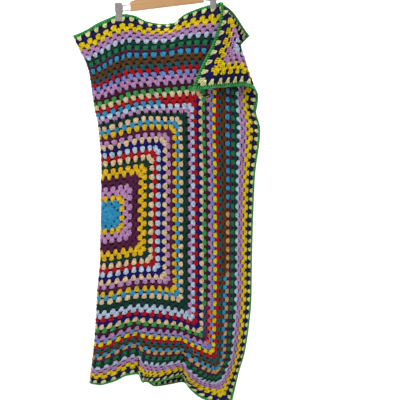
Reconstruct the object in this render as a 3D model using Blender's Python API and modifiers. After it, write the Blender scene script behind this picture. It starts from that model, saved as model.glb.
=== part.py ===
"""Crocheted afghan blanket, folded once and hung by its top edge from a two-clip wooden hanger.

Metres, +Z up, +X to the viewer's right, the viewer looks along +Y. The origin is inside the hook's crown,
the point that rests on a rail. The blanket is one square of crocheted rounds: places on the flat cloth are
counted in rounds from the square's centre, across (positive on the front layer) and up.
"""

import math

import bmesh
import bpy
import numpy as np
from mathutils import Matrix, Vector

# Flat cloth
ROW = 0.0124                # height of one crocheted round
RIM = 48.0                  # the last round ends this many rounds from the centre
EDGE = 48.65                # outer side of the edging
TOP_RIM = 47.0              # the top side has one round fewer
TOP_EDGE = 47.65
CLOTH_THICK = 0.0045
EDGING_THICK = 0.0050
PARTING = 0.0006            # gap between the cloth and its edging

# Hanger
TILT = math.radians(7.0)    # the right end hangs higher
BAR_LENGTH = 0.2465
BAR_HEIGHT = 0.030
BAR_CROWN = 0.016           # how much taller the bar is at its middle
BAR_THICK = 0.014
BAR_CENTRE = Vector((0.0104, 0.0, -0.1252))
RAIL_SPACING = 0.018
RAIL_BEND = 0.75            # the rail's end is a bend flatter than a half circle
RAIL_DROP = 0.0015          # the rails run this far below the bar's centre line
WIRE_RADIUS = 0.0015
HOOK_RADIUS = 0.0225        # inside of the hook's bend
HOOK_WIRE = 0.0018
FIT = 0.0003                # gap kept between pieces that touch

# Clips
CLIP_WIDTH = 0.0215
CLIP_HEIGHT = 0.060
JAW_THICK = 0.0022
JAW_SPREAD = 0.0145         # distance from the middle plane to a jaw's upper end
JAW_BEND = 0.42             # share of the jaw's height below its bend
PIVOT_RADIUS = 0.0020
LEFT_CLIP = Vector((-0.1502, 0.0, -0.1600))
RIGHT_CLIP = Vector((0.1655, 0.0, -0.1190))
GRIP = 0.0035               # from the middle plane to each cloth layer between the jaws
HOLD_WIDTH = 0.026          # the clips flatten the cloth this far to each side
HOLD_DEPTH = 3.0            # and for this many rounds below the edge

# Front layer, one row for each level section, in mm. Level and fold are counted in rounds; middle is the
# height of the cloth 12 rounds right of the centre; x_ gives the place across, drop_ how much lower the
# cloth lies there than at the middle
FRONT = [dict(zip(("level", "fold", "middle", "x_fold", "x_12", "x_24", "x_36", "x_edge",
                   "drop_fold", "drop_24", "drop_36", "drop_edge"), row)) for row in (
    (47.65, -2.5, -150, -307, -91, 92, 276, 456, 78, -14, -27, 11),
    (36.5, -3.0, -297, -254, -103, 70, 215, 316, 54, -12, -3, 27),
    (27.5, -2.5, -425, -236, -67, 88, 202, 306, 38, -13, 0, 31),
    (20.5, -2.6, -514, -219, -42, 91, 200, 328, 34, 2, 17, 35),
    (9.5, -3.2, -672, -209, -33, 94, 203, 309, 22, 5, 27, 39),
    (-9.5, -3.2, -961, -213, -37, 94, 203, 299, 22, 7, 22, 24),
    (-18.5, -2.6, -1082, -223, -37, 94, 201, 297, 23, 20, 30, 32),
    (-25.5, -2.0, -1166, -227, -51, 93, 197, 288, 23, 28, 47, 50),
    (-32.5, -0.8, -1240, -232, -70, 74, 193, 272, 30, 20, 67, 70),
    (-37.5, 0.0, -1286, -237, -91, 57, 174, 254, 27, 17, 75, 84),
    (-48.65, 0.5, -1392, -247, -104, -16, 76, 222, 5, -10, 2, 115),
)]

# Back layer, one row for each level section, in mm
BACK = [dict(zip(("level", "x_30", "x_edge", "drop_edge"), row)) for row in (
    (47.65, 186, 289, 84),
    (42.0, 176, 258, 46),
    (36.5, 165, 266, 24),
    (27.5, 150, 286, 20),
    (9.5, 132, 285, 17),
    (-25.5, 112, 262, 30),
    (-48.65, 45, 196, 34),
)]
BACK_LOWER = 0.027          # the back layer's hem hangs this much lower right of the first hem pleat
BACK_LOWER_FROM, BACK_LOWER_TO = -0.080, -0.030

# Folds at the hem, one row for each turn of the cloth, in mm: across, and depth away from the viewer
HEM_FOLDS = [dict(zip(("x", "depth"), row)) for row in (
    (-245, 4), (-213, -14), (-162, 2), (-128, 24), (-87, 30), (-67, -12), (-29, -22),
    (21, -4), (64, 18), (86, -16), (115, -25), (162, -10), (212, 12),
)]
# How much of those folds shows at each level
FOLD_SHARE = [dict(zip(("level", "share"), row)) for row in (
    (0, 0.0), (-9.5, 0.05), (-18.5, 0.14), (-25.5, 0.26), (-32.5, 0.42), (-37.5, 0.62), (-48.65, 1.0),
)]
HEM_LIFT = 0.5              # a fold that goes back by 1 lifts the hem by this
TUCKS = ((17.0, 0.013, 3.4), (34.0, 0.016, 4.6))    # round, cloth taken in at the hem, half width in rounds

# Groove under the left clip: round level, place across in mm
GROOVE = [dict(zip(("level", "x"), row)) for row in (
    (47.65, -140), (27.5, -145), (20.5, -151), (12.0, -158), (3.0, -168),
)]
GROOVE_DEPTH = 0.017
GROOVE_WIDTH = 0.012
LEFT_TURN = 0.34            # slope of the cloth left of the groove
RIGHT_TURN = 0.36           # slope of the border on the right
RIGHT_TURN_X = 0.135

# Sag of the top edge between the clips: round across, share of the sag
SAG = 0.047
SAG_FADE = 7.4              # rounds over which it fades
SAGS = [dict(zip(("across", "share"), row)) for row in (
    (7.0, 0.0), (9.5, 0.14), (11.7, 0.38), (13.9, 0.74), (16.1, 0.92), (18.3, 1.0), (20.3, 0.96),
    (22.3, 0.56), (24.0, 0.36), (26.0, 0.20), (28.0, 0.07), (30.0, 0.0),
)]
LEAN = 0.046                # how far the sagging edge leans back
LAYER_GAP = 0.030           # the layers part by this below the clips
LAYER_FADE = 9.0

# Fallen corner of the front layer, rolled forward about the right clip
CORNER_ROUND = 29.4         # the roll turns about a point above the edge, this many rounds across
CORNER_ABOVE = 1.0          # and this many above it
ROLL_START = math.radians(39.0)
ROLL_END = math.radians(53.8)
ROLL_LEAST = 0.0055         # radius of the roll near the clip
CORNER_SWING = math.radians(37.5)
CORNER_STRETCH = 0.36
CORNER_LIE = 0.50           # share of the roll's depth lost towards the tip


def column(table, name):
    return np.array([row[name] for row in table], dtype=float)


def smooth(x, knots, values):
    """Cubic curve through the knots without overshoot, held level past the ends."""
    knots = np.asarray(knots, dtype=float)
    values = np.asarray(values, dtype=float)
    if knots[0] > knots[-1]:
        knots, values = knots[::-1], values[::-1]
    run = np.diff(knots)
    slope = np.diff(values) / run
    tangent = np.empty_like(values)
    tangent[1:-1] = np.where(slope[1:] * slope[:-1] > 0,
                             2 * slope[1:] * slope[:-1] / (slope[1:] + slope[:-1] + 1e-12), 0.0)
    tangent[0], tangent[-1] = slope[0], slope[-1]
    x = np.clip(x, knots[0], knots[-1])
    i = np.clip(np.searchsorted(knots, x, side="right") - 1, 0, len(run) - 1)
    t = (x - knots[i]) / run[i]
    return ((2 * t ** 3 - 3 * t ** 2 + 1) * values[i] + (t ** 3 - 2 * t ** 2 + t) * run[i] * tangent[i]
            + (3 * t ** 2 - 2 * t ** 3) * values[i + 1] + (t ** 3 - t ** 2) * run[i] * tangent[i + 1])


def across(u, knots, values):
    """The same cubic along a section, where every point has knots and values of its own."""
    run = [b - a for a, b in zip(knots, knots[1:])]
    slope = [(b - a) / r for a, b, r in zip(values, values[1:], run)]
    middle = [np.where(a * b > 0, 2 * a * b / (np.abs(a + b) + 1e-12) * np.sign(a + b), 0.0)
              for a, b in zip(slope, slope[1:])]
    tangent = [slope[0], *middle, slope[-1]]
    out = values[0] + (u - knots[0]) * slope[0]
    for i, r in enumerate(run):
        t = np.clip((u - knots[i]) / r, 0.0, 1.0)
        part = ((2 * t ** 3 - 3 * t ** 2 + 1) * values[i] + (t ** 3 - 2 * t ** 2 + t) * r * tangent[i]
                + (3 * t ** 2 - 2 * t ** 3) * values[i + 1] + (t ** 3 - t ** 2) * r * tangent[i + 1])
        out = np.where(u >= knots[i], part, out)
    return out


def front_value(v, name, scale=0.001):
    return smooth(v, column(FRONT, "level"), column(FRONT, name)) * scale


def back_value(v, name):
    return smooth(v, column(BACK, "level"), column(BACK, name)) * 0.001


def fold_share(v):
    return smooth(v, column(FOLD_SHARE, "level"), column(FOLD_SHARE, "share"))


def sag_shape(u):
    """0 at and outside the clips, 1 where the edge hangs lowest between them."""
    return np.clip(smooth(u, column(SAGS, "across"), column(SAGS, "share")), 0.0, 1.0)


def depth(x, v, share):
    """How far the front layer lies behind the clips' plane, from its folds."""
    groove_x = smooth(v, column(GROOVE, "level"), column(GROOVE, "x")) * 0.001
    fade = np.clip((v - 2.0) / 14.0, 0.0, 1.0) * np.clip((TOP_EDGE + 1.0 - v) / 12.0, 0.0, 1.0)
    below = np.clip((TOP_EDGE - v) / 16.0, 0.0, 1.0)
    out = GROOVE_DEPTH * fade * np.exp(-((x - groove_x) / GROOVE_WIDTH) ** 2)
    out = out + LEFT_TURN * np.clip(groove_x - x, 0.0, None) * (0.45 + 0.55 * fade)
    turn = np.clip(x - RIGHT_TURN_X, 0.0, None)
    out = out + RIGHT_TURN * below * turn ** 2 / (turn + 0.030)
    folds = smooth(x * 1000, column(HEM_FOLDS, "x"), column(HEM_FOLDS, "depth")) * 0.001
    return out * (1 - 0.8 * fold_share(v)) + folds * share * fold_share(v)


def hold(x, v):
    """1 where a clip holds the cloth flat, 0 away from it."""
    near = np.exp(-((x - LEFT_CLIP.x) / HOLD_WIDTH) ** 8) + np.exp(-((x - RIGHT_CLIP.x) / HOLD_WIDTH) ** 8)
    down = np.clip((TOP_EDGE - v - HOLD_DEPTH) / HOLD_DEPTH, 0.0, 1.0)
    return near * (1 - down * down * (3 - 2 * down))


def layer_gap(x, v):
    """Distance between the two layers: least in the clips, wider below and between them."""
    pinch = (np.exp(-((x - LEFT_CLIP.x) / 0.040) ** 2) + np.exp(-((x - RIGHT_CLIP.x) / 0.040) ** 2))
    down = 1 - np.exp(-np.clip(TOP_EDGE - v, 0.0, None) / LAYER_FADE)
    return 2 * GRIP + (0.009 * (1 - np.clip(pinch, 0.0, 1.0)) + LAYER_GAP * down) * (1 - hold(x, v))


def front_layer(u, v):
    """Place of the front layer, for rounds right of its left-hand roll."""
    fold = front_value(v, "fold", 1.0)
    x_fold = front_value(v, "x_fold")
    roll = layer_gap(x_fold, v) / 2
    start = fold + roll * math.pi / 2 / ROW
    knots = [start, 12.0 + 0 * v, 24.0 + 0 * v, 36.0 + 0 * v, EDGE + 0 * v]
    x = across(u, knots, [x_fold + roll] + [front_value(v, n) for n in ("x_12", "x_24", "x_36", "x_edge")])
    for centre, taken, width in TUCKS:
        place = (u - centre) / width
        x = x - taken * fold_share(v) ** 3 * place * np.exp(0.5 - place ** 2 / 2)
    drop = across(u, knots, [front_value(v, "drop_fold"), 0 * v]
                  + [front_value(v, n) for n in ("drop_24", "drop_36", "drop_edge")])
    sag = sag_shape(u) * np.exp(-np.clip(TOP_EDGE - v, 0.0, None) / SAG_FADE)
    y = (depth(x, v, 1.0) + LEAN * sag ** 1.4) * (1 - hold(x, v)) - GRIP
    folds = smooth(x * 1000, column(HEM_FOLDS, "x"), column(HEM_FOLDS, "depth")) * 0.001
    z = front_value(v, "middle") - drop - SAG * sag + HEM_LIFT * folds * fold_share(v) ** 1.3
    return x, y, z


def back_layer(u, v):
    """Place of the back layer, for rounds left of the roll; u is negative there."""
    fold = front_value(v, "fold", 1.0)
    x_fold = front_value(v, "x_fold")
    roll = layer_gap(x_fold, v) / 2
    start = -(fold - roll * math.pi / 2 / ROW)
    w = -u
    x_30 = back_value(v, "x_30")
    knots = [start, 30.0 + 0 * v, EDGE + 0 * v]
    x = across(w, knots, [x_fold + roll, x_30, back_value(v, "x_edge")])
    drop = across(w, [start, 12.0 + 0 * v, 30.0 + 0 * v, EDGE + 0 * v],
                  [front_value(v, "drop_fold"), 0 * v, front_value(v, "drop_36") * 0.5 - 0.006,
                   back_value(v, "drop_edge")])
    sag = sag_shape(w) * np.exp(-np.clip(TOP_EDGE - v, 0.0, None) / SAG_FADE)
    lean = LEAN * np.where(x > RIGHT_CLIP.x, 0.0, sag ** 1.4)
    y = (depth(x, v, 0.55) + lean) * (1 - hold(x, v)) - GRIP + layer_gap(x, v)
    down = np.clip((TOP_EDGE - v) / (TOP_EDGE + EDGE), 0.0, 1.0)
    folds = smooth(x * 1000, column(HEM_FOLDS, "x"), column(HEM_FOLDS, "depth")) * 0.001
    right = np.clip((x - BACK_LOWER_FROM) / (BACK_LOWER_TO - BACK_LOWER_FROM), 0.0, 1.0)
    z = (front_value(v, "middle") - drop - SAG * sag - BACK_LOWER * down ** 3 * right ** 2 * (3 - 2 * right)
         + 0.4 * HEM_LIFT * folds * fold_share(v) ** 1.3)
    return x, y, z


def left_roll(u, v):
    """The round turn at the left, where the front layer becomes the back layer."""
    fold = front_value(v, "fold", 1.0)
    x_fold = front_value(v, "x_fold")
    roll = layer_gap(x_fold, v) / 2
    half = roll * math.pi / 2 / ROW
    angle = np.clip((u - fold) / half, -1.0, 1.0) * math.pi / 2
    y_middle = depth(x_fold + roll, v, 1.0) - GRIP + roll
    y_back = depth(x_fold + roll, v, 0.55) - GRIP + layer_gap(x_fold + roll, v)
    y_front = depth(x_fold + roll, v, 1.0) - GRIP
    turn = np.sin(angle)
    y = np.where(turn > 0, y_middle + (y_front - y_middle) * turn, y_middle - (y_back - y_middle) * turn)
    _, _, z_front = front_layer(fold + half, v)
    _, _, z_back = back_layer(fold - half, v)
    share = (1 - turn) / 2
    return x_fold + roll * (1 - np.cos(angle)), y, z_front * (1 - share) + z_back * share


def above_edge(u, v):
    """Place of the front layer, carried straight on past its top edge."""
    place = np.array(front_layer(u, v))
    past = np.array(front_layer(u, 0 * v + TOP_EDGE)) - np.array(front_layer(u, 0 * v + TOP_EDGE - 1.0))
    return place + past * np.clip(v - TOP_EDGE, 0.0, None)


def fallen_corner(u, v, x, y, z):
    """Roll the front layer's top right corner forward about the right clip and let it hang."""
    over = TOP_EDGE + CORNER_ABOVE
    reach = np.hypot(u - CORNER_ROUND, over - v) + 1e-9
    angle = np.arctan2(u - CORNER_ROUND, over - v)
    beyond = (angle > ROLL_START) & (u > CORNER_ROUND)
    apex = above_edge(np.array(CORNER_ROUND), np.array(over))
    ray_u = CORNER_ROUND + reach * math.sin(ROLL_START)
    ray_v = over - reach * math.cos(ROLL_START)
    ray_x, ray_y, ray_z = above_edge(ray_u, ray_v)
    length = np.hypot(ray_x - apex[0], ray_z - apex[2])
    heading = np.arctan2(ray_x - apex[0], apex[2] - ray_z)
    radius = reach * ROW * (ROLL_END - ROLL_START) / math.pi + ROLL_LEAST * np.clip(reach / 2.0, 0.0, 1.0)
    turn = np.clip((angle - ROLL_START) / (ROLL_END - ROLL_START), 0.0, 1.0) * math.pi
    past = np.clip((angle - ROLL_END) / (math.pi / 2 - ROLL_END), 0.0, 1.0)
    heading = heading + radius / np.maximum(length, 1e-6) * np.sin(turn) - CORNER_SWING * past
    length = length * (1 + CORNER_STRETCH * past)
    forward = radius * (1 - np.cos(turn)) * (1 - CORNER_LIE * past ** 2 * np.clip(reach / 12.0, 0.0, 1.0))
    new_x = apex[0] + length * np.sin(heading)
    under = np.clip(past * 2.0, 0.0, 1.0)
    behind = np.minimum(ray_y, depth(new_x, ray_v, 1.0) - GRIP)
    return (np.where(beyond, new_x, x),
            np.where(beyond, ray_y * (1 - under) + behind * under - forward, y),
            np.where(beyond, apex[2] - length * np.cos(heading), z))


def drape(u, v):
    """Place in the air of a point of the flat cloth, as an array of x, y, z."""
    u, v = np.broadcast_arrays(np.asarray(u, dtype=float), np.asarray(v, dtype=float))
    fold = front_value(v, "fold", 1.0)
    half = layer_gap(front_value(v, "x_fold"), v) / 2 * math.pi / 2 / ROW
    front = fallen_corner(u, v, *front_layer(u, v))
    back = back_layer(u, v)
    turn = left_roll(u, v)
    is_front, is_back = u > fold + half, u < fold - half
    return np.stack([np.where(is_front, f, np.where(is_back, b, t))
                     for f, b, t in zip(front, back, turn)], axis=-1)


def material(name, colour, roughness, metallic=0.0):
    made = bpy.data.materials.new(name)
    made.use_nodes = True
    shader = made.node_tree.nodes["Principled BSDF"]
    shader.inputs["Base Color"].default_value = (*colour, 1.0)
    shader.inputs["Roughness"].default_value = roughness
    shader.inputs["Metallic"].default_value = metallic
    made.diffuse_color = (*colour, 1.0)
    return made


def add(name, mesh, parts, look):
    piece = bpy.data.objects.new(name, mesh)
    parts.objects.link(piece)
    mesh.materials.clear()
    mesh.materials.append(look)
    return piece


def solidify(piece, thickness):
    shell = piece.modifiers.new("thickness", "SOLIDIFY")
    shell.thickness = thickness
    shell.offset = 0.0
    return shell


def steps(start, end, count):
    return np.linspace(start, end, count)


def cloth_columns():
    """Rounds across the cloth, closer together at the rolls and the tucks."""
    back = np.concatenate([steps(-RIM, -30.5, 9), steps(-30.5, -25.5, 6)[1:], steps(-25.5, -12.5, 7)[1:],
                           steps(-12.5, -8.0, 5)[1:]])
    middle = steps(-8.0, 12.0, 17)[1:]
    start = CORNER_ROUND + CORNER_ABOVE * math.tan(ROLL_START)
    front = np.concatenate([steps(12.0, start, 14)[1:], steps(start, RIM, 15)[1:]])
    return np.concatenate([back, middle, front])


def cloth_levels():
    return np.concatenate([steps(-RIM, -24.0, 12), steps(-24.0, 16.0, 11)[1:], steps(16.0, TOP_RIM, 17)[1:]])


def rim_of(columns, levels):
    """Places once round the grid's rim, from its lower right corner up."""
    right = [(columns[-1], v) for v in levels[:-1]]
    upper = [(u, levels[-1]) for u in columns[:0:-1]]
    left = [(columns[0], v) for v in levels[:0:-1]]
    lower = [(u, levels[0]) for u in columns[:-1]]
    return right + upper + left + lower


def facings(columns, levels):
    """Unit normal of the draped cloth at each place of the grid, even over the cells that meet there."""
    columns = np.concatenate([[-EDGE], columns, [EDGE]])
    levels = np.concatenate([[-EDGE], levels, [TOP_EDGE]])
    place = drape(*np.meshgrid(columns, levels))
    cell = np.cross(place[1:, 1:] - place[:-1, :-1], place[1:, :-1] - place[:-1, 1:])
    cell /= np.linalg.norm(cell, axis=-1, keepdims=True)
    total = cell[1:, 1:] + cell[1:, :-1] + cell[:-1, 1:] + cell[:-1, :-1]
    total /= np.linalg.norm(total, axis=-1, keepdims=True)
    return {(u, v): total[j, i] for j, v in enumerate(levels[1:-1]) for i, u in enumerate(columns[1:-1])}


def shell(name, places, normals, faces, outer, inner, thickness, parts, look):
    """Closed solid of even thickness on the draped cloth, from the faces and the outer and inner rim edges
    between its places. Walls that face each other are split the same way, so they stay parallel."""
    middle = drape(*np.array(places).T)
    half = np.array(normals) * thickness / 2
    count = len(places)
    under = [tuple(i + count for i in reversed(face)) for face in faces]
    sides = [side for a, b in outer for side in ((b, a, a + count), (b, a + count, b + count))]
    sides += [side for a, b in inner for side in ((a, b, a + count), (b, b + count, a + count))]
    mesh = bpy.data.meshes.new(name)
    mesh.from_pydata(np.concatenate([middle + half, middle - half]).tolist(), [], faces + under + sides)
    add(name, mesh, parts, look)


def make_cloth(columns, levels, normals, parts, look):
    places = [(u, v) for v in levels for u in columns]
    number = {place: i for i, place in enumerate(places)}
    faces = []
    for low, high in zip(levels, levels[1:]):
        for near, far in zip(columns, columns[1:]):
            faces.append((number[near, low], number[far, low], number[near, high]))
            faces.append((number[far, low], number[far, high], number[near, high]))
    border = [number[place] for place in rim_of(columns, levels)]
    rim = list(zip(border, border[1:] + border[:1]))
    facing = [normals[place] for place in places]
    shell("blanket_cloth", places, facing, faces, rim, [], CLOTH_THICK, parts, look)


def make_edging(columns, levels, normals, parts, look):
    """Band round the cloth's rim, parted from it all along."""
    rings = []
    for out in (PARTING / ROW, EDGE - RIM):
        rings += [(u + out * (int(u == RIM) - int(u == -RIM)), v + out * (int(v == TOP_RIM) - int(v == -RIM)))
                  for u, v in rim_of(columns, levels)]
    count = len(rings) // 2
    turns = [(i, (i + 1) % count) for i in range(count)]
    faces = [(i, i + count, j) for i, j in turns] + [(i + count, j + count, j) for i, j in turns]
    outer = [(i + count, j + count) for i, j in turns]
    facing = [normals[place] for place in rim_of(columns, levels)]
    shell("green_edging", rings, facing * 2, faces, outer, turns, EDGING_THICK, parts, look)


def hanger_frame():
    """From the hanger's own frame, level and centred on the bar, to the world."""
    return Matrix.Translation(BAR_CENTRE) @ Matrix.Rotation(-TILT, 4, "Y")


def make_bar(parts, look):
    """Wooden bar: an outline with a crowned top, given its thickness and rounded edges."""
    outline = bpy.data.curves.new("hanger_bar", "CURVE")
    outline.dimensions = "2D"
    outline.fill_mode = "BOTH"
    outline.extrude = BAR_THICK / 2 - 0.002
    outline.bevel_depth = 0.002
    outline.bevel_resolution = 2
    line = outline.splines.new("POLY")
    half, low = BAR_LENGTH / 2 - 0.002, -BAR_HEIGHT / 2 + 0.002
    crown = [(half * math.cos(a), BAR_HEIGHT / 2 - 0.002 + BAR_CROWN * math.sin(a) ** 1.5)
             for a in steps(0.0, math.pi, 17)]
    points = [(-half, low), (half, low)] + crown
    line.points.add(len(points) - 1)
    for place, (x, z) in zip(line.points, points):
        place.co = (x, z, 0.0, 1.0)
    line.use_cyclic_u = True
    piece = bpy.data.objects.new("hanger_bar", outline)
    outline.materials.append(look)
    parts.objects.link(piece)
    piece.matrix_world = hanger_frame() @ Matrix.Rotation(math.pi / 2, 4, "X")


def wire(name, points, radius, parts, look, sides=2):
    path = bpy.data.curves.new(name, "CURVE")
    path.dimensions = "3D"
    path.bevel_depth = radius
    path.bevel_resolution = sides
    path.use_fill_caps = True
    line = path.splines.new("POLY")
    line.points.add(len(points) - 1)
    for place, point in zip(line.points, points):
        place.co = (*point, 1.0)
    path.materials.append(look)
    piece = bpy.data.objects.new(name, path)
    parts.objects.link(piece)
    return piece


def bar_top():
    return hanger_frame() @ Vector((0.0, 0.0, BAR_HEIGHT / 2 + BAR_CROWN))


def make_hook(parts, look):
    """Hook: the bend round the rail, then the shank down into the ferrule on the bar."""
    up = hanger_frame().to_3x3() @ Vector((0.0, 0.0, 1.0))
    foot = bar_top() + up * (0.012 + FIT)
    radius = HOOK_RADIUS + HOOK_WIRE
    centre = Vector((0.0, 0.0, -HOOK_RADIUS))
    bend = [centre + radius * Vector((math.sin(a), 0.0, math.cos(a)))
            for a in steps(math.radians(-115), math.radians(120), 22)]
    end = bend[-1]
    lead = Vector((math.cos(math.radians(120)), 0.0, -math.sin(math.radians(120)))) * 0.030
    shank = []
    for t in steps(0.0, 1.0, 9)[1:]:
        h00, h10 = 2 * t ** 3 - 3 * t ** 2 + 1, t ** 3 - 2 * t ** 2 + t
        h01, h11 = 3 * t ** 2 - 2 * t ** 3, t ** 3 - t ** 2
        shank.append(end * h00 + lead * h10 + foot * h01 - up * 0.045 * h11)
    wire("hook", bend + shank, HOOK_WIRE, parts, look)
    ferrule = bmesh.new()
    bmesh.ops.create_cone(ferrule, cap_ends=True, segments=16, radius1=0.0060, radius2=0.0042,
                          depth=0.012 - FIT)
    mesh = bpy.data.meshes.new("ferrule")
    ferrule.to_mesh(mesh)
    ferrule.free()
    piece = add("ferrule", mesh, parts, look)
    piece.matrix_world = (hanger_frame()
                          @ Matrix.Translation((0, 0, BAR_HEIGHT / 2 + BAR_CROWN + 0.006 + FIT / 2)))


def make_rail(name, side, clip, parts, look):
    """U-shaped wire rail from the bar's end to the clip; side is -1 on the left and 1 on the right."""
    frame = hanger_frame()
    reach = abs(clip.x - BAR_CENTRE.x) / math.cos(TILT)
    bend_radius = RAIL_SPACING / 2
    start = BAR_LENGTH / 2 + FIT
    upper = [(side * start, 0.0, bend_radius), (side * reach, 0.0, bend_radius)]
    bend = [(side * (reach + bend_radius * RAIL_BEND * math.sin(a)), 0.0, bend_radius * math.cos(a))
            for a in steps(0.0, math.pi, 9)[1:-1]]
    lower = [(x, y, -z) for x, y, z in reversed(upper)]
    drop = Vector((0.0, 0.0, -RAIL_DROP))
    wire(name, [frame @ (Vector(p) + drop) for p in upper + bend + lower], WIRE_RADIUS, parts, look)


def jaw_stand(up):
    """Distance of a jaw's middle from the clip's middle plane; up runs from 0 at its lip to 1 at its top."""
    press = GRIP + EDGING_THICK / 2 + FIT + JAW_THICK / 2
    return press + (JAW_SPREAD - press) * max(0.0, up - JAW_BEND) / (1.0 - JAW_BEND)


def make_jaw(name, clip, face, parts, look):
    """Flat jaw of a clip: its lower end presses on the cloth, its upper end stands off the rail."""
    form = bmesh.new()
    bmesh.ops.create_grid(form, x_segments=4, y_segments=8, size=0.5)
    for point in form.verts:
        up = point.co.y + 0.5
        narrow = 1.0 - 0.08 * (1.0 - up)
        point.co = Vector((point.co.x * CLIP_WIDTH * narrow, face * jaw_stand(up), (up - 0.5) * CLIP_HEIGHT))
    mesh = bpy.data.meshes.new(name)
    form.to_mesh(mesh)
    form.free()
    piece = add(name, mesh, parts, look)
    piece.location = clip
    solidify(piece, JAW_THICK)


def make_pivot(name, clip, parts, look):
    """Pivot pin from jaw to jaw, resting on the upper wire of the rail."""
    rail = BAR_CENTRE.z + (clip.x - BAR_CENTRE.x) * math.tan(TILT) - RAIL_DROP / math.cos(TILT)
    height = rail + (RAIL_SPACING / 2 + WIRE_RADIUS) / math.cos(TILT) + PIVOT_RADIUS + FIT
    up = (height - clip.z) / CLIP_HEIGHT + 0.5
    lean = math.atan((JAW_SPREAD - jaw_stand(0.0)) / (CLIP_HEIGHT * (1.0 - JAW_BEND)))
    half = jaw_stand(up) - JAW_THICK / 2 / math.cos(lean) - PIVOT_RADIUS * math.tan(lean) - FIT
    form = bmesh.new()
    bmesh.ops.create_cone(form, cap_ends=True, segments=12, radius1=PIVOT_RADIUS, radius2=PIVOT_RADIUS,
                          depth=2 * half)
    mesh = bpy.data.meshes.new(name)
    form.to_mesh(mesh)
    form.free()
    piece = add(name, mesh, parts, look)
    piece.matrix_world = (Matrix.Translation((clip.x, clip.y, height))
                          @ Matrix.Rotation(math.pi / 2, 4, "X"))


def main():
    for old in list(bpy.data.objects):
        bpy.data.objects.remove(old, do_unlink=True)
    parts = bpy.data.collections.new("afghan_blanket")
    bpy.context.scene.collection.children.link(parts)
    yarn = material("acrylic yarn", (0.22, 0.08, 0.13), 0.85)
    green = material("green acrylic yarn", (0.06, 0.33, 0.12), 0.85)
    wood = material("lacquered beech", (0.58, 0.35, 0.16), 0.45)
    steel = material("chromed steel wire", (0.60, 0.60, 0.60), 0.25, 1.0)
    plate = material("grey coated steel plate", (0.25, 0.24, 0.23), 0.50, 0.3)
    columns, levels = cloth_columns(), cloth_levels()
    normals = facings(columns, levels)
    make_cloth(columns, levels, normals, parts, yarn)
    make_edging(columns, levels, normals, parts, green)
    make_bar(parts, wood)
    make_hook(parts, steel)
    for name, side, clip in (("left", -1.0, LEFT_CLIP), ("right", 1.0, RIGHT_CLIP)):
        make_rail(name + "_rail", side, clip, parts, steel)
        make_jaw(name + "_front_jaw", clip, -1.0, parts, plate)
        make_jaw(name + "_back_jaw", clip, 1.0, parts, plate)
        make_pivot(name + "_pivot", clip, parts, steel)


main()
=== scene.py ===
"""Crocheted afghan blanket hanging from a two-clip wooden hanger: the visible surfaces.

The blanket is one square of crocheted rounds. Places on the flat cloth are counted in rounds from its
centre, across (u) and up (v), and the drape functions carry them to the air. The front layer has u above
the fold at the left, the back layer has u below it.
"""

import math

import bmesh
import bpy
import numpy as np
from mathutils import Matrix, Vector


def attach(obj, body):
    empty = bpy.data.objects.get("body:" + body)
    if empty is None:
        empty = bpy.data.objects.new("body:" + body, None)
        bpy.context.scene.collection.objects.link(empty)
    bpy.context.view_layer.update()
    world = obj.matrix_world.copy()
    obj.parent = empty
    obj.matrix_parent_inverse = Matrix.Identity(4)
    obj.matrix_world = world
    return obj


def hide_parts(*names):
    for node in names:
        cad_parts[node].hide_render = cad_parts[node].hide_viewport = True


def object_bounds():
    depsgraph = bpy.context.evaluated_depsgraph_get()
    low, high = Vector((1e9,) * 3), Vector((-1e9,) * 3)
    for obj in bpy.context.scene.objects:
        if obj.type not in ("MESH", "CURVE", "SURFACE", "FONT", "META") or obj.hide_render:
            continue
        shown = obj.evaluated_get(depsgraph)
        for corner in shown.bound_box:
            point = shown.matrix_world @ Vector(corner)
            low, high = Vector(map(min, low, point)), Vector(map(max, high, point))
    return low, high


bl_info = {
    "name": "Hanging crocheted afghan",
    "version": (1, 0, 0),
    "blender": (4, 5, 0),
    "location": "View3D > Sidebar > Afghan",
    "description": "Builds a crocheted afghan blanket that hangs from a two-clip wooden hanger",
    "category": "Add Mesh",
}

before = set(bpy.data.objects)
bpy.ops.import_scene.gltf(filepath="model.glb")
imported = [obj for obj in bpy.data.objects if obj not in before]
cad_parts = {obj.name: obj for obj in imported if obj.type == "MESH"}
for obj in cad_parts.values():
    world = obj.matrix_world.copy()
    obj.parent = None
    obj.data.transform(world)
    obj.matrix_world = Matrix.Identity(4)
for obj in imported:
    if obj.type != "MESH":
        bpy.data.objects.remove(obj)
CAD_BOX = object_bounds()
BODY = "root"
MM = 0.001


def named(names, *rows):
    """A table: its rows, each with its values under the table's names."""
    return [dict(zip(names.split(), row)) for row in rows]


# Flat cloth
ROW = 0.0124  # height of one crocheted round
RIM = 48.0  # the last round ends this many rounds from the centre
EDGE = 48.65  # outer side of the edging
TOP_RIM = 47.0  # the top side has one round fewer
TOP_EDGE = 47.65
EDGING_THICK = 0.0050  # the clips' jaws close on this

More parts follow.
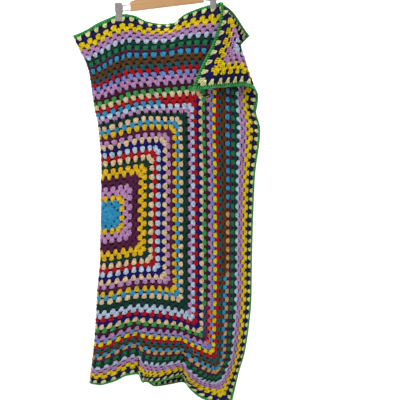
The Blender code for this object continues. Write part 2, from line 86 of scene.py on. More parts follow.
# Hanger
TILT = math.radians(7.0)  # the right end hangs higher
BAR_LENGTH = 0.2465
BAR_HEIGHT = 0.030
BAR_CROWN = 0.016  # how much taller the bar is at its middle
BAR_THICK = 0.014
BAR_ROUNDING = 0.002
BAR_CENTRE = Vector((0.0104, 0.0, -0.1252))
RAIL_SPACING = 0.018
RAIL_BEND = 0.75  # the rail's end is a bend flatter than a half circle
RAIL_DROP = 0.0015  # the rails run this far below the bar's centre line
WIRE_RADIUS = 0.0015
HOOK_RADIUS = 0.0225  # inside of the hook's bend
HOOK_WIRE = 0.0018
HOOK_ENDS = math.radians(-115), math.radians(120)
HOOK_LEAD = 0.030  # pull of the hook's bend on its shank
HOOK_ARRIVE = 0.045  # pull of the ferrule on the shank
FERRULE = 0.012  # height of the ferrule
FIT = 0.0003  # gap kept between pieces that touch

# Clips
CLIP_WIDTH = 0.0215
CLIP_HEIGHT = 0.060
JAW_THICK = 0.0022
JAW_SPREAD = 0.0145  # distance from the middle plane to a jaw's upper end
JAW_BEND = 0.42  # share of the jaw's height below its bend
PIVOT_RADIUS = 0.0020
LEFT_CLIP = Vector((-0.1502, 0.0, -0.1600))
RIGHT_CLIP = Vector((0.1655, 0.0, -0.1190))
GRIP = 0.0035  # from the middle plane to each cloth layer between the jaws
HOLD_WIDTH = 0.026  # the clips flatten the cloth this far to each side
HOLD_DEPTH = 3.0  # and for this many rounds below the edge

# Front layer, one row for each level section, in mm. Level and fold are counted in rounds; middle is the
# height of the cloth 12 rounds right of the centre; x_ gives the place across, drop_ how much lower the
# cloth lies there than at the middle
FRONT = named(
    "level fold middle x_fold x_12 x_24 x_36 x_edge drop_fold drop_24 drop_36 drop_edge",
    (47.65, -2.5, -150, -307, -91, 92, 276, 456, 78, -14, -27, 11),
    (36.5, -3.0, -297, -254, -103, 70, 215, 316, 54, -12, -3, 27),
    (27.5, -2.5, -425, -236, -67, 88, 202, 306, 38, -13, 0, 31),
    (20.5, -2.6, -514, -219, -42, 91, 200, 328, 34, 2, 17, 35),
    (9.5, -3.2, -672, -209, -33, 94, 203, 309, 22, 5, 27, 39),
    (-9.5, -3.2, -961, -213, -37, 94, 203, 299, 22, 7, 22, 24),
    (-18.5, -2.6, -1082, -223, -37, 94, 201, 297, 23, 20, 30, 32),
    (-25.5, -2.0, -1166, -227, -51, 93, 197, 288, 23, 28, 47, 50),
    (-32.5, -0.8, -1240, -232, -70, 74, 193, 272, 30, 20, 67, 70),
    (-37.5, 0.0, -1286, -237, -91, 57, 174, 254, 27, 17, 75, 84),
    (-48.65, 0.5, -1392, -247, -104, -16, 76, 222, 5, -10, 2, 115),
)

# Back layer, one row for each level section, in mm
BACK = named(
    "level x_30 x_edge drop_edge",
    (47.65, 186, 289, 84),
    (42.0, 176, 258, 46),
    (36.5, 165, 266, 24),
    (27.5, 150, 286, 20),
    (9.5, 132, 285, 17),
    (-25.5, 112, 262, 30),
    (-48.65, 45, 196, 34),
)
BACK_LOWER = 0.027  # the back layer's hem hangs this much lower right of the first hem pleat
BACK_LOWER_FROM, BACK_LOWER_TO = -0.080, -0.030

# Folds at the hem, one row for each turn of the cloth, in mm: across, and depth away from the viewer
HEM_FOLDS = named(
    "x depth",
    (-245, 4), (-213, -14), (-162, 2), (-128, 24), (-87, 30), (-67, -12), (-29, -22),
    (21, -4), (64, 18), (86, -16), (115, -25), (162, -10), (212, 12),
)
# How much of those folds shows at each level
FOLD_SHARE = named(
    "level share",
    (0, 0.0), (-9.5, 0.05), (-18.5, 0.14), (-25.5, 0.26), (-32.5, 0.42), (-37.5, 0.62), (-48.65, 1.0),
)
HEM_LIFT = 0.5  # a fold that goes back by 1 lifts the hem by this
BACK_SHARE = 0.55  # share of the front layer's folds that shows in the back layer
TUCKS = ((17.0, 0.013, 3.4), (34.0, 0.016, 4.6))  # round, cloth taken in at the hem, half width in rounds

# Groove under the left clip: round level, place across in mm
GROOVE = named(
    "level x",
    (47.65, -140), (27.5, -145), (20.5, -151), (12.0, -158), (3.0, -168),
)
GROOVE_DEPTH = 0.017
GROOVE_WIDTH = 0.012
GROOVE_END = 2.0  # level where the groove has run out
GROOVE_RISE = 14.0  # rounds over which it deepens from there
GROOVE_FALL = 12.0  # and over which it fades at the top edge
GROOVE_LOST = 0.8  # share of it lost where the hem's folds take over
LEFT_TURN = 0.34  # slope of the cloth left of the groove
RIGHT_TURN = 0.36  # slope of the border on the right
RIGHT_TURN_X = 0.135
RIGHT_TURN_EASE = 0.030
RIGHT_TURN_GROW = 16.0  # rounds below the top edge over which it sets in

# Sag of the top edge between the clips: round across, share of the sag
SAG = 0.047
SAG_FADE = 7.4  # rounds over which it fades
SAGS = named(
    "across share",
    (7.0, 0.0), (9.5, 0.14), (11.7, 0.38), (13.9, 0.74), (16.1, 0.92), (18.3, 1.0), (20.3, 0.96),
    (22.3, 0.56), (24.0, 0.36), (26.0, 0.20), (28.0, 0.07), (30.0, 0.0),
)
LEAN = 0.046  # how far the sagging edge leans back
LAYER_GAP = 0.030  # the layers part by this below the clips
LAYER_FADE = 9.0  # rounds over which they part
EDGE_GAP = 0.009  # and by this at the top edge, away from the clips
PINCH_WIDTH = 0.040

# Fallen corner of the front layer, rolled forward about the right clip
CORNER_ROUND = 29.4  # the roll turns about a point above the edge, this many rounds across
CORNER_ABOVE = 1.0  # and this many above it
ROLL_START = math.radians(39.0)
ROLL_END = math.radians(53.8)
ROLL_LEAST = 0.0055  # radius of the roll near the clip
CORNER_SWING = math.radians(37.5)
CORNER_STRETCH = 0.36
CORNER_LIE = 0.50  # share of the roll's depth lost towards the tip


def column(table, name):
    return np.array([row[name] for row in table], dtype=float)


def cubic(t, start, end, run, leave, arrive):
    """Point at the share t of the run between two knots, with the slopes at both."""
    return ((2 * t ** 3 - 3 * t ** 2 + 1) * start + (t ** 3 - 2 * t ** 2 + t) * run * leave
            + (3 * t ** 2 - 2 * t ** 3) * end + (t ** 3 - t ** 2) * run * arrive)


def smooth(x, knots, values):
    """Cubic curve through the knots without overshoot, held level past the ends."""
    knots = np.asarray(knots, dtype=float)
    values = np.asarray(values, dtype=float)
    if knots[0] > knots[-1]:
        knots, values = knots[::-1], values[::-1]
    run = np.diff(knots)
    slope = np.diff(values) / run
    tangent = np.empty_like(values)
    tangent[1:-1] = np.where(slope[1:] * slope[:-1] > 0,
                             2 * slope[1:] * slope[:-1] / (slope[1:] + slope[:-1] + 1e-12), 0.0)
    tangent[0], tangent[-1] = slope[0], slope[-1]
    x = np.clip(x, knots[0], knots[-1])
    i = np.clip(np.searchsorted(knots, x, side="right") - 1, 0, len(run) - 1)
    return cubic((x - knots[i]) / run[i], values[i], values[i + 1], run[i], tangent[i], tangent[i + 1])


def across(u, knots, values):
    """The same cubic along a section, where every point has knots and values of its own."""
    run = [b - a for a, b in zip(knots, knots[1:])]
    slope = [(b - a) / r for a, b, r in zip(values, values[1:], run)]
    middle = [np.where(a * b > 0, 2 * a * b / (np.abs(a + b) + 1e-12) * np.sign(a + b), 0.0)
              for a, b in zip(slope, slope[1:])]
    tangent = [slope[0], *middle, slope[-1]]
    out = values[0] + (u - knots[0]) * slope[0]
    for i, r in enumerate(run):
        part = cubic(np.clip((u - knots[i]) / r, 0.0, 1.0), values[i], values[i + 1], r, tangent[i], tangent[i + 1])
        out = np.where(u >= knots[i], part, out)
    return out


def front_value(v, name, scale=0.001):
    return smooth(v, column(FRONT, "level"), column(FRONT, name)) * scale


def back_value(v, name):
    return smooth(v, column(BACK, "level"), column(BACK, name)) * 0.001


def fold_share(v):
    return smooth(v, column(FOLD_SHARE, "level"), column(FOLD_SHARE, "share"))


def sag_at(u, v):
    """0 outside the clips, 1 where the top edge hangs lowest between them; it fades below the edge."""
    shape = np.clip(smooth(u, column(SAGS, "across"), column(SAGS, "share")), 0.0, 1.0)
    return shape * np.exp(-np.clip(TOP_EDGE - v, 0.0, None) / SAG_FADE)


def hem_folds(x):
    return smooth(x * 1000, column(HEM_FOLDS, "x"), column(HEM_FOLDS, "depth")) * 0.001


def depth(x, v, share):
    """How far the front layer lies behind the clips' plane, from its folds."""
    groove_x = smooth(v, column(GROOVE, "level"), column(GROOVE, "x")) * 0.001
    fade = np.clip((v - GROOVE_END) / GROOVE_RISE, 0.0, 1.0)
    fade = fade * np.clip((TOP_EDGE + 1.0 - v) / GROOVE_FALL, 0.0, 1.0)
    below = np.clip((TOP_EDGE - v) / RIGHT_TURN_GROW, 0.0, 1.0)
    out = GROOVE_DEPTH * fade * np.exp(-((x - groove_x) / GROOVE_WIDTH) ** 2)
    out = out + LEFT_TURN * np.clip(groove_x - x, 0.0, None) * (0.45 + 0.55 * fade)
    turn = np.clip(x - RIGHT_TURN_X, 0.0, None)
    out = out + RIGHT_TURN * below * turn ** 2 / (turn + RIGHT_TURN_EASE)
    return out * (1 - GROOVE_LOST * fold_share(v)) + hem_folds(x) * share * fold_share(v)


def hold(x, v):
    """1 where a clip holds the cloth flat, 0 away from it."""
    near = np.exp(-((x - LEFT_CLIP.x) / HOLD_WIDTH) ** 8) + np.exp(-((x - RIGHT_CLIP.x) / HOLD_WIDTH) ** 8)
    down = np.clip((TOP_EDGE - v - HOLD_DEPTH) / HOLD_DEPTH, 0.0, 1.0)
    return near * (1 - down * down * (3 - 2 * down))


def layer_gap(x, v):
    """Distance between the two layers: least in the clips, wider below and between them."""
    pinch = np.exp(-((x - LEFT_CLIP.x) / PINCH_WIDTH) ** 2) + np.exp(-((x - RIGHT_CLIP.x) / PINCH_WIDTH) ** 2)
    down = 1 - np.exp(-np.clip(TOP_EDGE - v, 0.0, None) / LAYER_FADE)
    return 2 * GRIP + (EDGE_GAP * (1 - np.clip(pinch, 0.0, 1.0)) + LAYER_GAP * down) * (1 - hold(x, v))


def roll_at(v):
    """The turn at the left: its middle in rounds, its place across, its radius, and half its length in rounds."""
    x_fold = front_value(v, "x_fold")
    roll = layer_gap(x_fold, v) / 2
    return front_value(v, "fold", 1.0), x_fold, roll, roll * math.pi / 2 / ROW


def front_layer(u, v):
    """Place of the front layer, for rounds right of its left-hand roll."""
    fold, x_fold, roll, half = roll_at(v)
    knots = [fold + half, 12.0 + 0 * v, 24.0 + 0 * v, 36.0 + 0 * v, EDGE + 0 * v]
    x = across(u, knots, [x_fold + roll] + [front_value(v, n) for n in ("x_12", "x_24", "x_36", "x_edge")])
    for centre, taken, width in TUCKS:
        place = (u - centre) / width
        x = x - taken * fold_share(v) ** 3 * place * np.exp(0.5 - place ** 2 / 2)
    drop = across(u, knots, [front_value(v, "drop_fold"), 0 * v]
                  + [front_value(v, n) for n in ("drop_24", "drop_36", "drop_edge")])
    sag = sag_at(u, v)
    y = (depth(x, v, 1.0) + LEAN * sag ** 1.4) * (1 - hold(x, v)) - GRIP
    z = front_value(v, "middle") - drop - SAG * sag + HEM_LIFT * hem_folds(x) * fold_share(v) ** 1.3
    return x, y, z


def back_layer(u, v):
    """Place of the back layer, for rounds left of the roll; u is negative there."""
    fold, x_fold, roll, half = roll_at(v)
    start = -(fold - half)
    w = -u
    x = across(w, [start, 30.0 + 0 * v, EDGE + 0 * v],
               [x_fold + roll, back_value(v, "x_30"), back_value(v, "x_edge")])
    drop = across(w, [start, 12.0 + 0 * v, 30.0 + 0 * v, EDGE + 0 * v],
                  [front_value(v, "drop_fold"), 0 * v, front_value(v, "drop_36") * 0.5 - 0.006,
                   back_value(v, "drop_edge")])
    sag = sag_at(w, v)
    lean = LEAN * np.where(x > RIGHT_CLIP.x, 0.0, sag ** 1.4)
    y = (depth(x, v, BACK_SHARE) + lean) * (1 - hold(x, v)) - GRIP + layer_gap(x, v)
    down = np.clip((TOP_EDGE - v) / (TOP_EDGE + EDGE), 0.0, 1.0)
    right = np.clip((x - BACK_LOWER_FROM) / (BACK_LOWER_TO - BACK_LOWER_FROM), 0.0, 1.0)
    z = (front_value(v, "middle") - drop - SAG * sag - BACK_LOWER * down ** 3 * right ** 2 * (3 - 2 * right)
         + 0.4 * HEM_LIFT * hem_folds(x) * fold_share(v) ** 1.3)
    return x, y, z


def left_roll(u, v):
    """The round turn at the left, where the front layer becomes the back layer."""
    fold, x_fold, roll, half = roll_at(v)
    angle = np.clip((u - fold) / half, -1.0, 1.0) * math.pi / 2
    turn = np.sin(angle)
    x = x_fold + roll
    y_front = depth(x, v, 1.0) - GRIP
    y_back = depth(x, v, BACK_SHARE) - GRIP + layer_gap(x, v)
    y_middle = y_front + roll
    y = np.where(turn > 0, y_middle + (y_front - y_middle) * turn, y_middle - (y_back - y_middle) * turn)
    _, _, z_front = front_layer(fold + half, v)
    _, _, z_back = back_layer(fold - half, v)
    share = (1 - turn) / 2
    return x_fold + roll * (1 - np.cos(angle)), y, z_front * (1 - share) + z_back * share


def above_edge(u, v):
    """Place of the front layer, carried straight on past its top edge."""
    place = np.array(front_layer(u, v))
    past = np.array(front_layer(u, 0 * v + TOP_EDGE)) - np.array(front_layer(u, 0 * v + TOP_EDGE - 1.0))
    return place + past * np.clip(v - TOP_EDGE, 0.0, None)


def fallen_corner(u, v, x, y, z):
    """Roll the front layer's top right corner forward about the right clip and let it hang."""
    over = TOP_EDGE + CORNER_ABOVE
    reach = np.hypot(u - CORNER_ROUND, over - v) + 1e-9
    angle = np.arctan2(u - CORNER_ROUND, over - v)
    beyond = (angle > ROLL_START) & (u > CORNER_ROUND)
    apex = above_edge(np.array(CORNER_ROUND), np.array(over))
    ray_u = CORNER_ROUND + reach * math.sin(ROLL_START)
    ray_v = over - reach * math.cos(ROLL_START)
    ray_x, ray_y, ray_z = above_edge(ray_u, ray_v)
    length = np.hypot(ray_x - apex[0], ray_z - apex[2])
    heading = np.arctan2(ray_x - apex[0], apex[2] - ray_z)
    radius = reach * ROW * (ROLL_END - ROLL_START) / math.pi + ROLL_LEAST * np.clip(reach / 2.0, 0.0, 1.0)
    turn = np.clip((angle - ROLL_START) / (ROLL_END - ROLL_START), 0.0, 1.0) * math.pi
    past = np.clip((angle - ROLL_END) / (math.pi / 2 - ROLL_END), 0.0, 1.0)
    heading = heading + radius / np.maximum(length, 1e-6) * np.sin(turn) - CORNER_SWING * past
    length = length * (1 + CORNER_STRETCH * past)
    forward = radius * (1 - np.cos(turn)) * (1 - CORNER_LIE * past ** 2 * np.clip(reach / 12.0, 0.0, 1.0))
    new_x = apex[0] + length * np.sin(heading)
    under = np.clip(past * 2.0, 0.0, 1.0)
    behind = np.minimum(ray_y, depth(new_x, ray_v, 1.0) - GRIP)
    return (np.where(beyond, new_x, x),
            np.where(beyond, ray_y * (1 - under) + behind * under - forward, y),
            np.where(beyond, apex[2] - length * np.cos(heading), z))


def drape(u, v):
    """Place in the air of a point of the flat cloth, as an array of x, y, z."""
    u, v = np.broadcast_arrays(np.asarray(u, dtype=float), np.asarray(v, dtype=float))
    fold, _, _, half = roll_at(v)
    layers = zip(fallen_corner(u, v, *front_layer(u, v)), back_layer(u, v), left_roll(u, v))
    return np.stack([np.where(u > fold + half, f, np.where(u < fold - half, b, t)) for f, b, t in layers], axis=-1)


# Yarns, in sRGB
YARNS = {
    "blue": "2F90BC",
    "golden": "ECB21A",
    "yellow": "F6C312",
    "lilac": "B787B8",
    "plum": "541A40",
    "dark_plum": "460F2D",
    "magenta": "7A1858",
    "dark_green": "0B3A30",
    "green": "19754A",
    "leaf_green": "3A984E",
    "teal": "185862",
    "beige": "D9BF98",
    "red": "AE0A1A",
    "pale_blue": "B4C4DE",
    "royal_navy": "100C6C",
    "navy": "131450",
    "periwinkle": "7088C6",
    "brown": "5F3A1A",
    "tan": "C49A62",
    "coral": "E0563A",
    "pale_yellow": "EAE4A0",
    # not a yarn: painted shade, the colour of the sheet that fills the gaps between the stitches
    "shade": "120D12",
}

# Colours of the rounds from the centre out, by the last round of each stripe. The left side, on the back layer,
# is taken to be like the right
STRIPES = named(
    "last yarn",
    (3, "blue"), (4, "golden"), (6, "lilac"), (8, "plum"), (10, "golden"), (11, "dark_green"), (12, "beige"),
    (13, "red"), (14, "pale_blue"), (15, "royal_navy"), (16, "beige"), (17, "lilac"), (18, "plum"), (19, "golden"),
    (20, "blue"), (21, "beige"), (23, "dark_green"), (24, "lilac"), (25, "pale_blue"), (26, "red"),
    (27, "royal_navy"), (28, "beige"), (29, "leaf_green"), (30, "dark_plum"), (31, "lilac"), (32, "periwinkle"),
    (33, "yellow"), (34, "red"), (35, "teal"), (37, "brown"), (38, "blue"), (39, "plum"), (40, "green"),
    (41, "dark_green"), (42, "pale_blue"), (44, "lilac"), (46, "yellow"), (47, "navy"), (48, "pale_yellow"),
)
# Where another yarn was used, or the yarn ran out within a round: side, round, from and to along the side in
# rounds, yarn used there. Places along the top count to the right, and along the right side upwards
SWAPS = named(
    "side round start end yarn",
    ("B", 24, -50.0, 50.0, "pale_blue"),
    ("T", 26, -50.0, 15.2, "blue"),
    ("T", 27, -50.0, 50.0, "red"),
    ("R", 29, -50.0, -21.3, "teal"),
    ("R", 30, -50.0, -20.5, "magenta"),
    ("R", 31, -50.0, -21.0, "coral"),
    ("T", 32, -50.0, 50.0, "lilac"),
    ("T", 33, -50.0, 50.0, "periwinkle"),
    ("B", 37, -50.0, 50.0, "blue"),
    ("R", 37, -50.0, -14.0, "blue"),
    ("B", 38, -50.0, 50.0, "tan"),
    ("R", 38, -50.0, 1.0, "tan"),
)
LAST_ROUND = 48
SKIPPED_ROUND = 23  # missing on the top side
LAST_SIZE = (0.80, 0.85)  # the last round's clusters are this much narrower and lower, under the edging
CORNER_PULL = 0.42  # a corner's clusters stand this many rounds back from it
SEED = 7
VARIES = (0.6, 0.35, 1.0)  # shares of the unevenness along the round, outwards and off the cloth
VARIES_LEAN = 0.7


def linear(code):
    """sRGB hex to linear colour with alpha."""
    parts = [int(code[i:i + 2], 16) / 255 for i in (0, 2, 4)]
    return (*[c / 12.92 if c <= 0.04045 else ((c + 0.055) / 1.055) ** 2.4 for c in parts], 1.0)


def shade(colour, by):
    return (*[min(1.0, c * by) for c in colour[:3]], 1.0)


def add_node(tree, kind, feeds=None, **settings):
    """Add a shader node with its settings; feeds gives an input's value, or the output that it is linked to."""
    made = tree.nodes.new("ShaderNode" + kind)
    for name, value in settings.items():
        setattr(made, name, value)
    for name, value in (feeds or {}).items():
        if isinstance(value, bpy.types.NodeSocket):
            tree.links.new(value, made.inputs[name])
        else:
            made.inputs[name].default_value = value
    return made


def new_material(name, **values):
    """A material with one Principled shader, its sockets set by name."""
    made = bpy.data.materials.new(name)
    made.use_nodes = True
    shader = made.node_tree.nodes["Principled BSDF"]
    for socket, value in values.items():
        shader.inputs[socket.replace("_", " ")].default_value = value
    return made, made.node_tree, shader


def dress(tree, shader, colour, height, distance, strength):
    """Give the shader its colour and its relief from a pattern, so many metres deep."""
    bump = add_node(tree, "Bump", {"Height": height, "Distance": distance, "Strength": strength})
    tree.links.new(colour, shader.inputs["Base Color"])
    tree.links.new(bump.outputs["Normal"], shader.inputs["Normal"])


def acrylic_yarn(name, colour):
    """Acrylic worsted yarn, spun and plied: matt, with soft fuzz that lifts the edges, painted shade in the ply
    grooves, and painted highlights and shade on the loops.
    """
    made, tree, shader = new_material("plied acrylic yarn " + name, Roughness=0.88, Specular_IOR_Level=0.15,
                                      Sheen_Weight=0.04, Sheen_Roughness=0.45)
    along = add_node(tree, "UVMap", uv_map="yarn").outputs["UV"]
    # plies are 2.4 mm apart along the yarn; the map is in millimetres
    plies = add_node(tree, "TexWave", {"Vector": along, "Scale": math.tau / 10 / PLY_MM, "Distortion": 0.6,
                                       "Detail": 1.0}, bands_direction="DIAGONAL").outputs["Fac"]
    place = add_node(tree, "TexCoord").outputs["Object"]
    # painted highlights and shade on the loops, mixed with uneven dye, about 7 mm apart, and fibres stand off about
    # 0.7 mm apart
    dye_and_painted_light = add_node(tree, "TexNoise", {"Vector": place, "Scale": 1 / (7 * MM), "Detail": 2.0}).outputs["Fac"]
    fuzz = add_node(tree, "TexNoise", {"Vector": place, "Scale": 1 / (0.7 * MM), "Detail": 2.0}).outputs["Fac"]
    # painted shade in the ply grooves: the colour darkens between the plies
    painted_ply_shade = add_node(tree, "Math", {0: plies, 1: 0.30, 2: -0.40}, operation="MULTIPLY_ADD").outputs[0]
    both = add_node(tree, "Math", {0: dye_and_painted_light, 1: 1.70, 2: painted_ply_shade}, operation="MULTIPLY_ADD").outputs[0]
    # a shaded and a lit copy of the yarn colour, mixed: painted shade and painted highlight on the loops, with
    # uneven dye
    painted_light_tint = add_node(tree, "Mix", {0: both, 6: shade(colour, 0.45), 7: shade(colour, 1.45)}, data_type="RGBA")
    relief = add_node(tree, "Math", {0: fuzz, 1: 0.5, 2: plies}, operation="MULTIPLY_ADD")
    dress(tree, shader, painted_light_tint.outputs[2], relief.outputs[0], 0.9 * MM, 0.8)
    return made


def lacquered_beech():
    """Turned and lacquered beech: fine straight grain with short flecks under a thin gloss coat."""
    made, tree, shader = new_material("lacquered beech", Roughness=0.38, Coat_Weight=0.35, Coat_Roughness=0.18)
    place = add_node(tree, "TexCoord").outputs["Object"]
    # grain lines are 1.6 mm apart and run 60 times as far along the bar
    turned = add_node(tree, "Mapping", {"Vector": place, "Rotation": (0.0, TILT, 0.0),
                                        "Scale": (1 / (100 * MM), 1 / (1.6 * MM), 1 / (1.6 * MM))})
    grain = add_node(tree, "TexNoise", {"Vector": turned.outputs["Vector"], "Scale": 1.0, "Detail": 5.0,
                                        "Distortion": 0.4}).outputs["Fac"]
    # rays show as flecks about 3 mm long
    laid = add_node(tree, "Mapping", {"Vector": place, "Rotation": (0.0, TILT, 0.0),
                                      "Scale": (1 / (3 * MM), 1 / (0.5 * MM), 1 / (0.5 * MM))})
    fleck = add_node(tree, "TexNoise", {"Vector": laid.outputs["Vector"], "Scale": 1.0}).outputs["Fac"]
    spots = add_node(tree, "MapRange", {"Value": fleck, "From Min": 0.60, "From Max": 0.72, "To Min": 0.0,
                                        "To Max": 0.5}).outputs[0]
    ramp = add_node(tree, "Mix", {0: grain, 6: linear("9A6834"), 7: linear("D4A76E")}, data_type="RGBA")
    wood = add_node(tree, "Mix", {0: spots, 6: ramp.outputs[2], 7: linear("7A4B22")}, data_type="RGBA")
    dress(tree, shader, wood.outputs[2], grain, 0.15 * MM, 0.3)
    return made


def metal(name, colour, roughness, metallic, grit_mm):
    """Steel with a finish whose grit shows as slight changes of gloss."""
    made, tree, shader = new_material(name, Metallic=metallic)
    place = add_node(tree, "TexCoord").outputs["Object"]
    grit = add_node(tree, "TexNoise", {"Vector": place, "Scale": 1 / (grit_mm * MM), "Detail": 3.0}).outputs["Fac"]
    gloss = add_node(tree, "MapRange", {"Value": grit, "To Min": roughness * 0.8, "To Max": roughness * 1.25})
    tone = add_node(tree, "Mix", {0: grit, 6: shade(colour, 0.88), 7: shade(colour, 1.08)}, data_type="RGBA")
    tree.links.new(gloss.outputs[0], shader.inputs["Roughness"])
    dress(tree, shader, tone.outputs[2], grit, 0.05 * MM, 0.4)
    return made


def matt_paper(name, colour):
    """Studio background paper: flat and matt."""
    return new_material(name, Roughness=0.95, Base_Color=colour, Specular_IOR_Level=0.1)[0]


# Stitches, in millimetres, in their own frame: x along the round, y outwards, z off the cloth
PLY_MM = 2.4
POST_RINGS = named(
    "y spread z radius",
    (-4.0, 2.1, -0.8, 1.9), (1.6, 4.0, 1.4, 2.6), (7.0, 5.4, 2.0, 2.8), (12.0, 4.8, 0.2, 2.5),
)
CHAIN_RINGS = named(
    "x y z radius",
    (-8.4, 8.6, -0.8, 1.1), (-6.0, 11.3, 1.0, 1.9), (-3.0, 12.6, 0.8, 1.5), (0.0, 13.2, 1.8, 2.1),
    (3.0, 12.6, 0.8, 1.5), (6.0, 11.3, 1.0, 1.9), (8.4, 8.6, -0.8, 1.1),
)
SINGLE_RINGS = named(
    "y spread z radius",
    (-3.6, 0.5, 0.6, 1.9), (0.4, 0.2, 1.6, 2.5), (3.8, -0.2, 1.2, 2.7), (6.0, -0.3, 0.2, 2.2),
)
LOOP_RINGS = named(
    "x y z radius",
    (-3.8, 5.6, 0.2, 1.6), (-1.6, 6.4, 1.4, 2.2), (0.8, 6.0, 1.5, 2.3), (3.6, 5.6, 0.2, 1.6),
)
SIDES = 5


def tube(path, radii):
    """Closed tube round a path in mm: its points, its faces, and for each face corner its place on the yarn."""
    path = np.asarray(path, dtype=float)
    heading = np.gradient(path, axis=0)
    heading /= np.linalg.norm(heading, axis=1, keepdims=True)
    outward = np.array([0.0, 0.0, 1.0]) - heading * heading[:, 2:3]
    outward /= np.linalg.norm(outward, axis=1, keepdims=True)
    beside = np.cross(heading, outward)
    turn = np.arange(SIDES) * math.tau / SIDES
    ring = (outward[:, None] * np.cos(turn)[None, :, None] + beside[:, None] * np.sin(turn)[None, :, None])
    points = (path[:, None] + ring * np.asarray(radii, dtype=float)[:, None, None]).reshape(-1, 3)
    length = np.concatenate([[0.0], np.cumsum(np.linalg.norm(np.diff(path, axis=0), axis=1))])
    wrap = 2 * PLY_MM / SIDES
    faces, corners = [], []
    for i in range(len(path) - 1):
        for j in range(SIDES):
            k = (j + 1) % SIDES
            faces.append((i * SIDES + j, i * SIDES + k, (i + 1) * SIDES + k, (i + 1) * SIDES + j))
            corners += [(length[i], j * wrap), (length[i], (j + 1) * wrap),
                        (length[i + 1], (j + 1) * wrap), (length[i + 1], j * wrap)]
    last = (len(path) - 1) * SIDES
    for face in (tuple(range(SIDES))[::-1], tuple(range(last, last + SIDES))):
        faces.append(face)
        corners += [(0.0, 0.0)] * SIDES
    return points, faces, corners


def column_of(table, *names):
    return np.array([[row[name] for name in names] for row in table], dtype=float)


def post(table, side):
    """One upright of a stitch, leaning by its spread times side."""
    rows = column_of(table, "spread", "y", "z")
    rows[:, 0] *= side
    return tube(rows, column(table, "radius"))


def loop(table):
    """A loop of yarn through a table's rings."""
    return tube(column_of(table, "x", "y", "z"), column(table, "radius"))


def gather(pieces):
    """Join tubes into one stitch."""
    points, faces, corners, start = [], [], [], 0
    for p, f, c in pieces:
        points.append(p)
        faces += [tuple(i + start for i in face) for face in f]
        corners += c
        start += len(p)
    return np.concatenate(points), faces, np.array(corners)


def cluster_stitch():
    """Three double crochets worked into one space, with the loops along their tops."""
    return gather([post(POST_RINGS, side) for side in (-1.0, 0.0, 1.0)] + [loop(CHAIN_RINGS)])


def edging_stitch():
    """One single crochet over the rim, with its top loop."""
    return gather([post(SINGLE_RINGS, 1.0), loop(LOOP_RINGS)])


def corner_stitch():
    """The chain loop that turns a corner."""
    arc = [(6.0 * math.sin(a) - 0.5, 6.0 * math.cos(a) - 0.5, 0.3) for a in np.linspace(-0.3, 1.87, 6)]
    return gather([tube(arc, [1.3, 1.8, 2.0, 2.0, 1.8, 1.3])])


def placed(name, data):
    """An object with this data, in the scene."""
    made = bpy.data.objects.new(name, data)
    bpy.context.scene.collection.objects.link(made)
    return made


def from_form(name, form, look):
    """An object with the surface built in form, smooth and in its finish."""
    mesh = bpy.data.meshes.new(name)
    form.to_mesh(mesh)
    form.free()
    mesh.materials.append(look)
    mesh.shade_smooth()
    return placed(name, mesh)


# Along and outward directions of each side on the flat cloth
AXES = {"T": ((1, 0), (0, 1)), "R": ((0, -1), (1, 0)), "B": ((-1, 0), (0, -1)), "L": ((0, 1), (-1, 0))}


def outward_normal(u, v):
    """Unit normal of the draped cloth."""
    step = 0.35
    right, left = np.clip(u + step, -EDGE, EDGE), np.clip(u - step, -EDGE, EDGE)
    up, down = np.clip(v + step, -EDGE, TOP_EDGE), np.clip(v - step, -EDGE, TOP_EDGE)
    normal = np.cross(drape(right, v) - drape(left, v), drape(u, up) - drape(u, down))
    return normal / np.linalg.norm(normal, axis=-1, keepdims=True)


def lay(points, places, sides, sizes, leans):
    """Carry a stitch's points to the draped cloth, once for each place: u, v of its foot, and its side."""
    along = np.array([AXES[s][0] for s in sides], dtype=float)
    out = np.array([AXES[s][1] for s in sides], dtype=float)
    local = points[None] * sizes[:, None, :]
    x = (local[..., 0] + leans[:, None] * local[..., 1]) * MM / ROW
    y = local[..., 1] * MM / ROW
    flat = np.array(places)[:, None, :] + along[:, None, :] * x[..., None] + out[:, None, :] * y[..., None]
    u = np.clip(flat[..., 0], -EDGE, EDGE)
    v = np.clip(flat[..., 1], -EDGE, TOP_EDGE)
    return drape(u, v) + outward_normal(u, v) * (local[..., 2] * MM)[..., None]


def stitch_mesh(name, stitches, looks):
    """One mesh from groups of stitches: each is (template, places, sides, sizes, leans, yarn numbers)."""
    points, faces, corners, yarns, start = [], [], [], [], 0
    for (shape, cells, marks), places, sides, sizes, leans, numbers in stitches:
        laid = lay(shape, places, sides, sizes, leans)
        count, each = laid.shape[:2]
        points.append(laid.reshape(-1, 3))
        for i in range(count):
            faces += [tuple(p + start + i * each for p in cell) for cell in cells]
        corners.append(np.tile(marks, (count, 1)))
        yarns.append(np.repeat(numbers, len(cells)))
        start += count * each
    mesh = bpy.data.meshes.new(name)
    mesh.from_pydata(np.concatenate(points), [], faces)
    mesh.polygons.foreach_set("use_smooth", np.ones(len(faces), dtype=bool))
    mesh.polygons.foreach_set("material_index", np.concatenate(yarns).astype(np.int32))
    layer = mesh.uv_layers.new(name="yarn")
    layer.data.foreach_set("uv", np.concatenate(corners).astype(np.float32).ravel())
    for look in looks:
        mesh.materials.append(look)
    mesh.update()
    return placed(name, mesh)


def yarn_name(side, number, along):
    """The yarn of one cluster, from its side, its round and its place along the side."""
    for swap in SWAPS:
        if (swap["side"], swap["round"]) == (side, number) and swap["start"] <= along <= swap["end"]:
            return swap["yarn"]
    return next(row["yarn"] for row in STRIPES if number <= row["last"])


def foot(side, number):
    """Distance of a round's inner line from the centre, in rounds."""
    return number - 1 - (1 if side == "T" and number > SKIPPED_ROUND else 0)


def at_side(side, along, out):
    """Place on the flat cloth, from a distance along a side and one outwards from the centre."""
    return {"T": (along, out), "R": (out, along), "B": (along, -out), "L": (-out, along)}[side]


